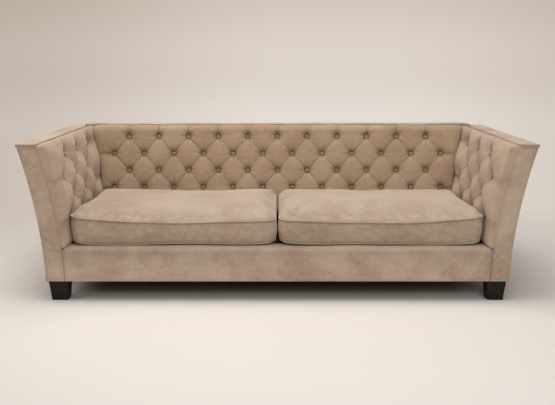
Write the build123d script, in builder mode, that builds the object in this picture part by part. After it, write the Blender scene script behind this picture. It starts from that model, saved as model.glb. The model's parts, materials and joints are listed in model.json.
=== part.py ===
from build123d import *
import math
import os

# Driving dimensions in millimetres. X runs along the seat, Y to the back, Z up.
# The origin is on the floor under the middle of the sofa. Left is -X, right is +X.
overall_width = 2400.0
overall_depth = 940.0
arm_height = 757.0
back_rise = 11.0
pad_rise = 9.0
deck_height = 266.0

# Arms: the outside flares along an arc that hangs inside its chord by the bow.
arm_flare = 96.0
arm_width = 90.0
arm_bow = 22.5
arm_thickness_low = 120.0
arm_thickness_high = 150.0
inside_bow = 16.0

# Back: cap depth from front to rear, and the rake of the inside back.
back_width = 90.0
back_rake = 12.0

# Cloth and padding thicknesses.
cover = 3.0
facing = 12.0
facing_round = 3.0
cap = 14.0
cap_round = 6.0
platform = 13.5
lip_depth = 90.0
border_round = 22.0
dust_cover_sheet = 1.5
webbing = 2.0
hessian = 1.0
pad_base = 4.0
pad_wall = 8.0
pad_round = 12.0
pad_setback = 6.0
back_foam_depth = 58.0
fit = 0.3

# Timber.
board = 32.0
post_width = 80.0
post_depth = 40.0
top_rail_depth = 38.0
tack_rail_depth = 40.0
tack_rail_thickness = 30.0
block_width = 82.0
block_depth = 110.0
stretcher_height = 70.0
stretcher_thickness = 30.0
stretcher_spacing = 500.0
upright_thickness = 36.0
upright_spacing = 600.0

# Legs: tapered blocks on hanger bolts.
leg_height = 100.0
leg_width_top = 94.0
leg_depth_top = 75.0
leg_width_foot = 76.0
leg_depth_foot = 58.0
leg_inset_x = 7.0
leg_inset_y = 15.0
leg_edge = 2.5
bolt_radius = 4.0
bolt_in_leg = 45.0
bolt_in_block = 40.0
insert_wall = 2.0
insert_length = 20.0
bolt_play = 0.2

# Straps.
strap_width = 60.0
seat_strap_pitch = 100.0
back_strap_pitch = 150.0
arm_strap_pitch = 150.0
strap_trim = 5.0

# Deep buttoning: rows run alternately on the columns and half way between them.
back_end_margin = 60.0
back_columns = 5
back_row_pitch = 95.6
back_first_row = 55.0
back_tuft_height = 28.0
arm_front_margin = 131.5
arm_rear_margin = 48.0
arm_columns = 3
arm_row_pitch = 98.0
arm_first_row = 74.0
arm_tuft_height = 24.0
button_rows = 4
button_radius = 11.0
button_height = 8.0
button_sides = 8
button_profile = ((0.0, 0.82), (0.38, 1.0), (0.8, 0.75), (1.0, 0.4))
pit_play = 2.0
pit_sink = 0.5
twine = 2.0
tuft_seam = 3.0
tuft_edge = 14.0
tuft_sink = 3.0
tuft_profile = ((0.0, 1.0), (0.5, 0.92), (0.85, 0.72), (1.0, 0.4))

# Loose seat cushions.
cushion_gap = 2.0
cushion_side_gap = 4.0
cushion_rear_gap = 4.4
cushion_setback = 45.0
cushion_corner = 35.0
cushion_draw_in = 4.0
cushion_skin = 2.0
bottom_seam = 10.0
boxing = 96.0
crown_rise = 76.0
crown_profile = ((0.36, 10.0), (0.62, 35.0), (0.82, 85.0), (0.94, 150.0), (1.0, 225.0))
bottom_tuck = 14.0
welt_radius = 2.5
welt_sides = 6
zip_inset = 80.0
zip_width = 26.0
zip_tape = 1.0
slider_length = 14.0
slider_width = 10.0
slider_height = 4.0
pull_length = 24.0
pull_thickness = 1.6

# Heights and planes that follow from those sizes.
base_width = overall_width - 2 * arm_flare
seat_width_low = base_width - 2 * arm_thickness_low
seat_width_high = overall_width - 2 * arm_thickness_high
back_height = arm_height + back_rise
pad_height = arm_height + pad_rise
front = -overall_depth / 2
rear = overall_depth / 2
frame_front = front + facing
frame_rear = rear - cover
frame_bottom = leg_height + dust_cover_sheet
strap_top = deck_height - platform
rail_top = strap_top - webbing
cap_bottom = arm_height - cap
top_rail_bottom = cap_bottom - top_rail_depth
tack_top = strap_top + tack_rail_depth
pad_bottom = deck_height + fit
pad_wall_low = cap_bottom + fit
pad_front = front + pad_setback
cap_front = rear - back_width

# Layers of an arm, as distances inside the outer flare.
frame_out = cover + fit
rail_in = frame_out + board
frame_in = frame_out + post_width
strap_out = frame_in + fit
strap_in = strap_out + webbing
hessian_out = strap_in + fit
hessian_in = hessian_out + hessian
foam_out = hessian_in + fit
pad_out = arm_width + fit

# Layers of the back, as distances in front of the raked face of its frame.
back_strap_low = fit
back_hessian_low = back_strap_low + webbing + fit
back_foam_low = back_hessian_low + hessian + fit
back_pad_low = back_foam_low + back_foam_depth + fit
back_valley = back_pad_low + pad_base
back_crown = back_valley + back_tuft_height

rake = math.radians(back_rake)
raked_front = cap_front + back_foam_low / math.cos(rake)
back_plane = Plane(
    origin=(0, raked_front, cap_bottom),
    x_dir=(1, 0, 0),
    z_dir=(0, -math.cos(rake), math.sin(rake)),
)


def flare(low, high, bow):
    """Gives x as a function of z along an arc that hangs inside the chord low-high by bow."""
    run = high[0] - low[0]
    rise = high[1] - low[1]
    chord = math.hypot(run, rise)
    radius = (chord**2 / 4 + bow**2) / (2 * bow)
    centre_x = (low[0] + high[0]) / 2 + (radius - bow) * rise / chord
    centre_z = (low[1] + high[1]) / 2 - (radius - bow) * run / chord

    def at(z):
        return centre_x - math.sqrt(radius**2 - (z - centre_z) ** 2)

    return at


outer_arm = flare((base_width / 2, leg_height), (overall_width / 2, arm_height), arm_bow)
inside_arm = flare((seat_width_low / 2, deck_height), (seat_width_high / 2, arm_height), inside_bow)


def inside(depth):
    """Gives the outer flare moved in towards the seat by a depth."""
    return lambda z: outer_arm(z) - depth


def arm_valley(z):
    """Gives x of the sewn-down face between the tufts of an inside arm."""
    return inside_arm(z) + arm_tuft_height


def arm_pad_back(z):
    """Gives x of the rear face of the tufted arm cover."""
    return arm_valley(z) + pad_base


def arm_foam_face(z):
    """Gives x of the foam just behind the tufted arm cover."""
    return arm_pad_back(z) + fit


def arm_lean(z):
    """Gives the angle of an inside arm from upright at a height."""
    step = 1.0
    return math.atan((arm_valley(z + step) - arm_valley(z - step)) / (2 * step))


def raked_y(z, depth):
    """Gives y at a height on the raked back, a depth in front of its frame."""
    return raked_front - (cap_bottom - z) * math.tan(rake) - depth / math.cos(rake)


def write(name, part):
    """Labels a piece and writes it under its own name."""
    part.label = name
    export_step(part, f"parts/{name}.step")


def write_pair(stem, part):
    """Writes a right-hand piece and its mirror image."""
    with BuildPart() as left:
        mirror(part, about=Plane.YZ)
    write(f"{stem}_right", part)
    write(f"{stem}_left", left.part)


def arm_piece(outside, inner, z_low, z_high, y_front, y_rear):
    """Extrudes the band between two flare arcs of the right arm from front to rear."""
    z_mid = (z_low + z_high) / 2
    with BuildPart() as piece:
        with BuildSketch(Plane.XZ.offset(-y_rear)):
            with BuildLine():
                ThreePointArc((outside(z_low), z_low), (outside(z_mid), z_mid), (outside(z_high), z_high))
                Line((outside(z_high), z_high), (inner(z_high), z_high))
                ThreePointArc((inner(z_high), z_high), (inner(z_mid), z_mid), (inner(z_low), z_low))
                Line((inner(z_low), z_low), (outside(z_low), z_low))
            make_face()
        extrude(amount=y_rear - y_front)
    return piece.part


def span_piece(end, side_profile):
    """Runs a side profile of (y, z) points along the sofa, cut at both ends along a flare arc."""
    z_low = min(z for _, z in side_profile)
    z_high = max(z for _, z in side_profile)
    z_mid = (z_low + z_high) / 2
    with BuildPart() as piece:
        with BuildSketch(Plane.XZ.offset(front - overall_depth)):
            with BuildLine():
                ThreePointArc((end(z_low), z_low), (end(z_mid), z_mid), (end(z_high), z_high))
                Line((end(z_high), z_high), (-end(z_high), z_high))
                ThreePointArc((-end(z_high), z_high), (-end(z_mid), z_mid), (-end(z_low), z_low))
                Line((-end(z_low), z_low), (end(z_low), z_low))
            make_face()
        extrude(amount=3 * overall_depth)
        with BuildSketch(Plane.YZ):
            with BuildLine():
                Polyline(*side_profile, close=True)
            make_face()
        extrude(amount=overall_width, both=True, mode=Mode.INTERSECT)
    return piece.part


def rectangle(y_front, y_rear, z_low, z_high):
    """Gives the side profile of a plain bar."""
    return [(y_front, z_low), (y_rear, z_low), (y_rear, z_high), (y_front, z_high)]


def raked_layer(depth_low, depth_high, z_low, z_high):
    """Gives the side profile of a layer of the back between two depths."""
    return [
        (raked_y(z_low, depth_high), z_low),
        (raked_y(z_low, depth_low), z_low),
        (raked_y(z_high, depth_low), z_high),
        (raked_y(z_high, depth_high), z_high),
    ]


def tuft(plane, corners, height):
    """Lofts one sewn tuft: steep beside its seams and flat on its crown."""
    points = [plane.to_local_coords(corner) for corner in corners]
    centre = sum(points, Vector()) * (1 / len(points))
    reach = min((point - centre).length for point in points)
    seam = 1 - tuft_seam / reach
    with BuildPart() as pillow:
        for rise, share in [(-tuft_sink, 1.0)] + [(part * height, share) for part, share in tuft_profile]:
            outline = [centre + (point - centre) * share * seam for point in points]
            with BuildSketch(plane.offset(rise)):
                with BuildLine():
                    Polyline(*[(point.X, point.Y) for point in outline], close=True)
                make_face()
        loft(ruled=True)
    return pillow.part


def lattice_cells(rows, top, bottom, low_side, high_side):
    """Gives the corner points of every tuft between staggered rows of buttons.

    The rows run from the top down. Odd cells are diamonds; the outer ones end on the pad's edges,
    where sides give the edge at a row's level and top and bottom are levels.
    """
    cells = []
    for row, above, below in zip(rows[1:-1], rows[:-2], rows[2:]):
        level = row[0][1]
        for left, right in zip(row, row[1:]):
            high = [p for p in above if left[0] < p[0] < right[0]]
            low = [p for p in below if left[0] < p[0] < right[0]]
            cells.append([left, low[0], right, high[0]])
        for edge, inner, column in ((low_side, row[0], 0), (high_side, row[-1], -1)):
            if is_outer(inner, above[column], edge(level)):
                continue
            cells.append([
                (edge(above[column][1]), above[column][1]),
                above[column],
                inner,
                below[column],
                (edge(below[column][1]), below[column][1]),
            ])
    for row, beside, level in ((rows[0], rows[1], top), (rows[-1], rows[-2], bottom)):
        for left, right in zip(row, row[1:]):
            between = [p for p in beside if left[0] < p[0] < right[0]]
            cells.append([(left[0], level), left, between[0], right, (right[0], level)])
        for edge, inner, outer in ((low_side, row[0], beside[0]), (high_side, row[-1], beside[-1])):
            if is_outer(inner, outer, edge(level)):
                side = (edge(inner[1]), inner[1])
                cells.append([(edge(level), level), side, inner, (inner[0], level)])
            else:
                side = (edge(outer[1]), outer[1])
                cells.append([(edge(level), level), side, outer, inner, (inner[0], level)])
    return cells


def is_outer(button, neighbour, edge):
    """Says whether a button lies nearer to a side edge than its neighbour in the next row."""
    return abs(button[0] - edge) < abs(neighbour[0] - edge)


def staggered_rows(first, pitch, count, start, column_pitch, offsets):
    """Gives rows of button points from the top down, each with its own offset and count."""
    rows = []
    for index in range(count):
        shift, columns = offsets[index % 2]
        level = first - index * pitch
        rows.append([(start + shift + column * column_pitch, level) for column in range(columns)])
    return rows


os.makedirs("parts", exist_ok=True)

# Rails of the seat frame, between leg blocks in the four corners.
front_rail = span_piece(
    inside(rail_in + block_width), rectangle(frame_front, frame_front + board, frame_bottom, rail_top)
)
write("front_rail", front_rail)
rear_rail = span_piece(
    inside(rail_in + block_width), rectangle(frame_rear - board, frame_rear, frame_bottom, rail_top)
)
write("rear_rail", rear_rail)
write_pair(
    "side_rail",
    arm_piece(inside(frame_out), inside(rail_in), frame_bottom, rail_top, frame_front, frame_rear),
)

with BuildPart() as seat_stretchers:
    stretcher_run = overall_depth - facing - cover - 2 * board
    with Locations((0, (frame_front + frame_rear) / 2, frame_bottom)):
        with GridLocations(stretcher_spacing, 0, 3, 1):
            Box(
                stretcher_thickness,
                stretcher_run,
                stretcher_height,
                align=(Align.CENTER, Align.CENTER, Align.MIN),
            )
write("seat_stretchers", seat_stretchers.part)

# Legs, each drawn up to its block by a hanger bolt in a threaded insert.
leg_x = base_width / 2 - leg_inset_x - leg_width_top / 2
leg_y = overall_depth / 2 - leg_inset_y - leg_depth_top / 2
leg_places = {
    "front_left": (-leg_x, -leg_y),
    "front_right": (leg_x, -leg_y),
    "rear_left": (-leg_x, leg_y),
    "rear_right": (leg_x, leg_y),
}
insert_radius = bolt_radius + insert_wall
bore_radius = bolt_radius + bolt_play

block_out = inside(rail_in)
block_in = inside(rail_in + block_width)
with BuildPart() as leg_blocks:
    for y_front in (frame_front, frame_rear - block_depth):
        block = arm_piece(block_out, block_in, frame_bottom, rail_top, y_front, y_front + block_depth)
        add(block)
        mirror(block, about=Plane.YZ)
    with Locations(*[(x, y, frame_bottom) for x, y in leg_places.values()]):
        Cylinder(
            insert_radius + bolt_play,
            insert_length,
            align=(Align.CENTER, Align.CENTER, Align.MIN),
            mode=Mode.SUBTRACT,
        )
        Cylinder(
            bore_radius,
            bolt_in_block + bolt_play,
            align=(Align.CENTER, Align.CENTER, Align.MIN),
            mode=Mode.SUBTRACT,
        )
write("leg_blocks", leg_blocks.part)

for place, (x, y) in leg_places.items():
    with BuildPart() as leg:
        with BuildSketch(Plane((x, y, 0))) as foot:
            Rectangle(leg_width_foot, leg_depth_foot)
            chamfer(foot.vertices(), length=leg_edge)
        with BuildSketch(Plane((x, y, leg_height))) as top:
            Rectangle(leg_width_top, leg_depth_top)
            chamfer(top.vertices(), length=leg_edge)
        loft(ruled=True)
        with Locations((x, y, leg_height)):
            Cylinder(
                bore_radius,
                bolt_in_leg + bolt_play,
                align=(Align.CENTER, Align.CENTER, Align.MAX),
                mode=Mode.SUBTRACT,
            )
    write(f"leg_{place}", leg.part)

with BuildPart() as leg_bolts:
    bolt_length = bolt_in_leg + dust_cover_sheet + bolt_in_block
    with Locations(*[(x, y, leg_height - bolt_in_leg) for x, y in leg_places.values()]):
        Cylinder(bolt_radius, bolt_length, align=(Align.CENTER, Align.CENTER, Align.MIN))
write("leg_bolts", leg_bolts.part)

with BuildPart() as leg_inserts:
    for x, y in leg_places.values():
        with BuildSketch(Plane((x, y, frame_bottom))):
            Circle(insert_radius)
            Circle(bore_radius, mode=Mode.SUBTRACT)
        extrude(amount=insert_length)
write("leg_inserts", leg_inserts.part)

with BuildPart() as dust_cover:
    with BuildSketch(Plane.XY.offset(leg_height)):
        with Locations((0, (frame_front + frame_rear) / 2)):
            Rectangle(base_width - 2 * frame_out, frame_rear - frame_front)
        with Locations(*leg_places.values()):
            Circle(bore_radius, mode=Mode.SUBTRACT)
    extrude(amount=dust_cover_sheet)
write("dust_cover", dust_cover.part)

# Arm frames: posts on the blocks, a top rail across them and a tack rail above the deck.
rear_post_front = frame_rear - post_depth
front_post_rear = frame_front + post_depth
write_pair(
    "arm_front_post",
    arm_piece(inside(frame_out), inside(frame_in), rail_top, top_rail_bottom, frame_front, front_post_rear),
)
write_pair(
    "arm_rear_post",
    arm_piece(inside(frame_out), inside(frame_in), rail_top, top_rail_bottom, rear_post_front, frame_rear),
)
write_pair(
    "arm_top_rail",
    arm_piece(inside(frame_out), inside(frame_in), top_rail_bottom, cap_bottom, frame_front, frame_rear),
)
with BuildPart() as arm_tack_rails:
    tack_rail_out = inside(frame_in - tack_rail_thickness)
    add(arm_piece(tack_rail_out, inside(frame_in), strap_top, tack_top, front_post_rear, rear_post_front))
    mirror(about=Plane.YZ)
write("arm_tack_rails", arm_tack_rails.part)

# Back frame: raked uprights on the rear rail carry a tack rail and the top rail.
tack_rear = raked_y(strap_top, 0) + tack_rail_thickness
back_top_rail = span_piece(
    inside(frame_in + fit),
    [
        (raked_y(top_rail_bottom, 0), top_rail_bottom),
        (frame_rear, top_rail_bottom),
        (frame_rear, cap_bottom),
        (raked_y(cap_bottom, 0), cap_bottom),
    ],
)
write("back_top_rail", back_top_rail)
back_tack_rail = span_piece(
    lambda z: inside_arm(z) - fit,
    [
        (raked_y(strap_top, 0), strap_top),
        (tack_rear, strap_top),
        (tack_rear, tack_top),
        (raked_y(tack_top, 0), tack_top),
    ],
)
write("back_tack_rail", back_tack_rail)

with BuildPart() as back_uprights:
    for x in (-upright_spacing, 0.0, upright_spacing):
        with BuildSketch(Plane.YZ.offset(x)):
            with BuildLine():
                Polyline(
                    (tack_rear, rail_top),
                    (frame_rear, rail_top),
                    (frame_rear, top_rail_bottom),
                    (raked_y(top_rail_bottom, 0), top_rail_bottom),
                    (raked_y(tack_top, 0), tack_top),
                    (tack_rear, tack_top),
                    close=True,
                )
            make_face()
        extrude(amount=upright_thickness / 2, both=True)
write("back_uprights", back_uprights.part)

# Webbing and hessian that carry the padding.
seat_strap_pairs = math.floor((base_width / 2 - frame_in - strap_width / 2) / seat_strap_pitch + 0.5)
back_strap_pairs = math.floor((seat_width_low - strap_width) / 2 / back_strap_pitch)
with BuildPart() as seat_webbing:
    with BuildSketch(Plane.XY.offset(rail_top)):
        with Locations((0, (frame_front + frame_rear) / 2)):
            with GridLocations(seat_strap_pitch, 0, 2 * seat_strap_pairs, 1):
                Rectangle(strap_width, frame_rear - frame_front)
    extrude(amount=webbing)
write("seat_webbing", seat_webbing.part)

with BuildPart() as back_webbing:
    strap_run = (cap_bottom - strap_top) / math.cos(rake) - 2 * strap_trim
    with BuildSketch(back_plane.offset(back_strap_low)):
        with Locations((0, -strap_trim - strap_run / 2)):
            with GridLocations(back_strap_pitch, 0, 2 * back_strap_pairs + 1, 1):
                Rectangle(strap_width, strap_run)
    extrude(amount=webbing)
write("back_webbing", back_webbing.part)

back_limit = lambda z: arm_valley(z) - fit
back_hessian = span_piece(
    back_limit, raked_layer(back_hessian_low, back_hessian_low + hessian, pad_bottom, cap_bottom)
)
write("back_hessian", back_hessian)

arm_pad_rear = raked_y(top_rail_bottom, back_foam_low)
arm_straps = math.floor((arm_pad_rear - front_post_rear - strap_width) / arm_strap_pitch)
with BuildPart() as arm_webbing:
    for index in range(arm_straps):
        middle = (front_post_rear + arm_pad_rear) / 2 + (index - (arm_straps - 1) / 2) * arm_strap_pitch
        strap = arm_piece(
            inside(strap_out),
            inside(strap_in),
            pad_bottom,
            cap_bottom,
            middle - strap_width / 2,
            middle + strap_width / 2,
        )
        add(strap)
    mirror(about=Plane.YZ)
write("arm_webbing", arm_webbing.part)

with BuildPart() as arm_hessian:
    add(arm_piece(inside(hessian_out), inside(hessian_in), pad_bottom, cap_bottom, frame_front, arm_pad_rear))
    mirror(about=Plane.YZ)
write("arm_hessian", arm_hessian.part)

# Inside back: foam behind a tufted cover, with covered buttons on twines through both.
back_pitch = (seat_width_low / 2 - back_end_margin) / (back_columns + 0.5)
back_rows = staggered_rows(
    -back_first_row,
    back_row_pitch,
    button_rows,
    -back_columns * back_pitch,
    back_pitch,
    ((0.0, 2 * back_columns + 1), (-back_pitch / 2, 2 * back_columns + 2)),
)
valley_plane = back_plane.offset(back_valley)
pit_plane = valley_plane.offset(-pit_sink)
back_points = [point for row in back_rows for point in row]
twine_hole = twine + 2 * fit


def valley_z(level):
    """Gives the height of a level on the sewn-down face of the back."""
    return valley_plane.from_local_coords(Vector(0, level, 0)).Z


def level_of(z):
    """Gives the level on the sewn-down face of the back at a height."""
    return (z - valley_z(0)) / math.cos(rake)


def back_edge(level):
    """Gives the end of the tufts at a level, just short of the inside arm."""
    return inside_arm(valley_z(level)) - tuft_seam


def back_tuft(cell):
    """Lofts one tuft of the inside back on its sewn-down face."""
    corners = [valley_plane.from_local_coords(Vector(x, level, 0)) for x, level in cell]
    return tuft(valley_plane, corners, back_tuft_height)


with BuildPart() as back_foam:
    add(span_piece(back_limit, raked_layer(back_foam_low, back_pad_low - fit, pad_bottom, cap_bottom)))
    with BuildSketch(back_plane.offset(back_foam_low)):
        with Locations(*back_points):
            Rectangle(twine_hole, twine_hole)
    extrude(amount=back_foam_depth, mode=Mode.SUBTRACT)
write("back_foam", back_foam.part)

back_cells = lattice_cells(
    back_rows,
    level_of(pad_height - tuft_edge),
    level_of(pad_bottom + tuft_edge),
    lambda level: -back_edge(level),
    back_edge,
)
with BuildPart() as inside_back_cover:
    add(
        span_piece(
            back_limit,
            [
                (raked_y(pad_bottom, back_valley), pad_bottom),
                (raked_y(pad_bottom, back_pad_low), pad_bottom),
                (raked_y(pad_wall_low, back_pad_low), pad_wall_low),
                (cap_front - fit, pad_wall_low),
                (cap_front - fit, pad_height),
                (raked_y(pad_height, back_valley), pad_height),
            ],
        )
    )
    top_edges = inside_back_cover.edges().filter_by(Axis.X).group_by(Axis.Z)[-1]
    fillet(top_edges.sort_by(Axis.Y)[0], radius=pad_round)
    add([back_tuft(cell) for cell in back_cells])
    with BuildSketch(pit_plane):
        with Locations(*back_points):
            RegularPolygon(button_radius + pit_play, button_sides)
    extrude(amount=2 * back_tuft_height, mode=Mode.SUBTRACT)
    with BuildSketch(back_plane.offset(back_pad_low)):
        with Locations(*back_points):
            Rectangle(twine_hole, twine_hole)
    extrude(amount=pad_base, mode=Mode.SUBTRACT)
write("inside_back_cover", inside_back_cover.part)


def button_on(plane):
    """Lofts one covered button, drawn in behind and domed in front."""
    with BuildPart() as button:
        for rise, share in button_profile:
            with BuildSketch(plane.offset(rise * button_height)):
                RegularPolygon(share * button_radius, button_sides)
        loft(ruled=True)
    return button.part


with BuildPart() as back_buttons:
    for x, level in back_points:
        place = pit_plane.from_local_coords(Vector(x, level, 0))
        add(button_on(Plane(place, pit_plane.x_dir, pit_plane.z_dir)))
write("back_buttons", back_buttons.part)

with BuildPart() as back_twines:
    with BuildSketch(back_plane.offset(back_foam_low - fit)):
        with Locations(*back_points):
            Rectangle(twine, twine)
    extrude(amount=back_valley - pit_sink - back_foam_low + fit)
write("back_twines", back_twines.part)

# Inside arms: the same deep buttoning on a pad that follows the flare.
arm_row_top = arm_height - arm_first_row
arm_first = pad_front + arm_front_margin
arm_last = raked_y(arm_row_top - 2 * arm_row_pitch, back_crown) - arm_rear_margin
arm_pitch = (arm_last - arm_first) / (arm_columns - 0.5)
arm_rows = staggered_rows(
    arm_row_top,
    arm_row_pitch,
    button_rows,
    arm_first,
    arm_pitch,
    ((arm_pitch / 2, arm_columns), (0.0, arm_columns)),
)


def arm_tangent(y, z):
    """Gives the plane that touches the sewn-down face of the right inside arm."""
    lean = arm_lean(z)
    return Plane(
        origin=(arm_valley(z), y, z), x_dir=(0, -1, 0), z_dir=(-math.cos(lean), 0, math.sin(lean))
    )


def arm_tuft(cell):
    """Lofts one tuft of the right inside arm on the plane at its middle."""
    y = sum(point[0] for point in cell) / len(cell)
    z = sum(point[1] for point in cell) / len(cell)
    corners = [Vector(arm_valley(level), across, level) for across, level in cell]
    return tuft(arm_tangent(y, z), corners, arm_tuft_height)


def twine_run(z):
    """Gives the length from a button's pit square through the arm to its hessian."""
    lean = arm_lean(z)
    depth = outer_arm(z) - hessian_in - arm_valley(z)
    slope = outer_arm(z + 0.5) - outer_arm(z - 0.5)
    return depth / (math.cos(lean) + slope * math.sin(lean)) - pit_sink - fit


arm_pits = [(arm_tangent(y, z).offset(-pit_sink), twine_run(z)) for row in arm_rows for y, z in row]

with BuildPart() as arm_foam:
    foam_front = pad_front + pad_wall + fit
    add(arm_piece(inside(foam_out), arm_foam_face, pad_bottom, cap_bottom, foam_front, arm_pad_rear))
    for plane, run in arm_pits:
        with BuildSketch(plane):
            Rectangle(twine_hole, twine_hole)
        extrude(amount=-2 * run, mode=Mode.SUBTRACT)
write_pair("arm_foam", arm_foam.part)

arm_cells = lattice_cells(
    arm_rows,
    pad_height - tuft_edge,
    pad_bottom + tuft_edge,
    lambda level: pad_front + tuft_edge,
    lambda level: raked_y(level, back_crown) - tuft_seam,
)
with BuildPart() as inside_arm_cover:
    add(arm_piece(inside(pad_out), arm_valley, pad_bottom, pad_height, pad_front, arm_pad_rear))
    front_edge = inside_arm_cover.edges().filter_by(GeomType.CIRCLE).group_by(Axis.Y)[0].sort_by(Axis.X)[0]
    top_edge = inside_arm_cover.edges().filter_by(Axis.Y).group_by(Axis.Z)[-1].sort_by(Axis.X)[0]
    fillet([front_edge, top_edge], radius=pad_round)
    add(
        arm_piece(
            inside(0), arm_pad_back, leg_height, pad_wall_low, pad_front + pad_wall, rear
        ),
        mode=Mode.SUBTRACT,
    )
    add([arm_tuft(cell) for cell in arm_cells])
    for plane, run in arm_pits:
        with BuildSketch(plane):
            RegularPolygon(button_radius + pit_play, button_sides)
        extrude(amount=2 * arm_tuft_height, mode=Mode.SUBTRACT)
        with BuildSketch(plane):
            Rectangle(twine_hole, twine_hole)
        extrude(amount=-2 * pad_base, mode=Mode.SUBTRACT)
write_pair("inside_arm_cover", inside_arm_cover.part)

with BuildPart() as arm_buttons:
    add([button_on(plane) for plane, run in arm_pits])
write_pair("arm_buttons", arm_buttons.part)

with BuildPart() as arm_twines:
    for plane, run in arm_pits:
        with BuildSketch(plane):
            Rectangle(twine, twine)
        extrude(amount=-run)
    mirror(about=Plane.YZ)
write("arm_twines", arm_twines.part)

# Outer covers, facings and caps.
write_pair(
    "outer_arm_cover", arm_piece(inside(0), inside(cover), leg_height, cap_bottom, frame_front, frame_rear)
)
outer_back_cover = span_piece(inside(0), rectangle(frame_rear, rear, leg_height, cap_bottom))
write("outer_back_cover", outer_back_cover)

with BuildPart() as arm_facing:
    add(arm_piece(inside(0), inside(arm_width), leg_height, cap_bottom, front, frame_front))
    chamfer(arm_facing.edges().group_by(Axis.Y)[0], length=facing_round)
write_pair("arm_facing", arm_facing.part)

with BuildPart() as arm_cap:
    add(arm_piece(inside(0), inside(arm_width), cap_bottom, arm_height, front, rear))
    fillet(arm_cap.edges().group_by(Axis.Z)[-1], radius=cap_round)
write_pair("arm_cap", arm_cap.part)

with BuildPart() as back_cap:
    add(span_piece(inside(pad_out), rectangle(cap_front, rear, cap_bottom, back_height)))
    fillet(back_cap.edges().group_by(Axis.Z)[-1].filter_by(Axis.X), radius=cap_round)
write("back_cap", back_cap.part)

with BuildPart() as front_border:
    add(
        span_piece(
            inside(pad_out),
            [
                (front, leg_height),
                (frame_front, leg_height),
                (frame_front, strap_top),
                (front + lip_depth, strap_top),
                (front + lip_depth, deck_height),
                (front, deck_height),
            ],
        )
    )
    top_edges = front_border.edges().filter_by(Axis.X).group_by(Axis.Z)[-1]
    fillet(top_edges.sort_by(Axis.Y)[0], radius=border_round)
write("front_border", front_border.part)

seat_platform = span_piece(
    inside(pad_out), rectangle(front + lip_depth, raked_y(strap_top, back_foam_low), strap_top, deck_height)
)
write("seat_platform", seat_platform)

# Loose cushions: a cover shell with welted seams, a foam core and a zip along the rear boxing.
cushion_bottom = deck_height + fit
cushion_front = front + cushion_setback
cushion_width = (seat_width_low - cushion_gap) / 2 - cushion_side_gap
cushion_depth = raked_y(cushion_bottom, back_crown) - cushion_rear_gap - cushion_front
cushion_x = (cushion_gap + cushion_width) / 2
cushion_y = cushion_front + cushion_depth / 2
welt_stand = welt_radius + fit
welt_proud = welt_radius + welt_stand
boxing_rear = cushion_y + cushion_depth / 2 - welt_proud
bottom_seam_z = cushion_bottom + bottom_seam
top_seam_z = bottom_seam_z + boxing


def cushion_face(z, trim):
    """Draws the cushion's outline at a height, trimmed all round, its sides drawn in."""
    across = cushion_width / 2 - welt_proud - trim
    along = cushion_depth / 2 - welt_proud - trim
    with BuildSketch(Plane((cushion_x, cushion_y, z))) as face:
        with BuildLine():
            ThreePointArc((-across, -along), (0, -along + cushion_draw_in), (across, -along))
            ThreePointArc((across, -along), (across - cushion_draw_in, 0), (across, along))
            Line((across, along), (-across, along))
            ThreePointArc((-across, along), (-across + cushion_draw_in, 0), (-across, -along))
        make_face()
        fillet(face.vertices(), radius=cushion_corner)
    return face.sketch


def cushion_body(shrink):
    """Lofts the cushion: tucked in below, upright boxing, crowned above."""
    tucked = cushion_face(cushion_bottom + shrink, bottom_tuck + shrink)
    bottom = cushion_face(bottom_seam_z, shrink)
    top = cushion_face(top_seam_z, shrink)
    crown = [
        cushion_face(top_seam_z + share * (crown_rise - shrink), trim + shrink)
        for share, trim in crown_profile
    ]
    with BuildPart() as body:
        loft([tucked, bottom, top] + crown, ruled=True)
    return body.part


with BuildPart() as cushion_cover:
    add(cushion_body(0.0))
    add(cushion_body(cushion_skin), mode=Mode.SUBTRACT)
write_pair("cushion_cover", cushion_cover.part)
write_pair("cushion_core", cushion_body(cushion_skin + fit))

with BuildPart() as cushion_welts:
    for z in (bottom_seam_z, top_seam_z):
        path = cushion_face(z, -welt_stand).wires()[0]
        with BuildSketch(Plane(origin=path @ 0, z_dir=path % 0)):
            RegularPolygon(welt_radius, welt_sides)
        sweep(path=path)
write_pair("cushion_welts", cushion_welts.part)

zip_length = cushion_width - 2 * zip_inset
zip_z = (bottom_seam_z + top_seam_z) / 2
with BuildPart() as cushion_zip:
    with Locations((cushion_x, boxing_rear, zip_z)):
        Box(zip_length, zip_tape, zip_width, align=(Align.CENTER, Align.MIN, Align.CENTER))
write_pair("cushion_zip", cushion_zip.part)

slider_x = cushion_x + zip_length / 2 - slider_length
with BuildPart() as zip_slider:
    with BuildSketch(Plane.XZ.offset(-(boxing_rear + zip_tape + fit + slider_height))):
        with Locations((slider_x, zip_z)):
            Trapezoid(slider_length, slider_width, 80)
    extrude(amount=slider_height)
    with Locations((slider_x, boxing_rear + zip_tape + fit + slider_height, zip_z)):
        Box(
            slider_width / 2,
            pull_thickness,
            pull_length,
            align=(Align.CENTER, Align.MAX, Align.MAX),
        )
write_pair("zip_slider", zip_slider.part)
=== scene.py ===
import json
import math

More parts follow.
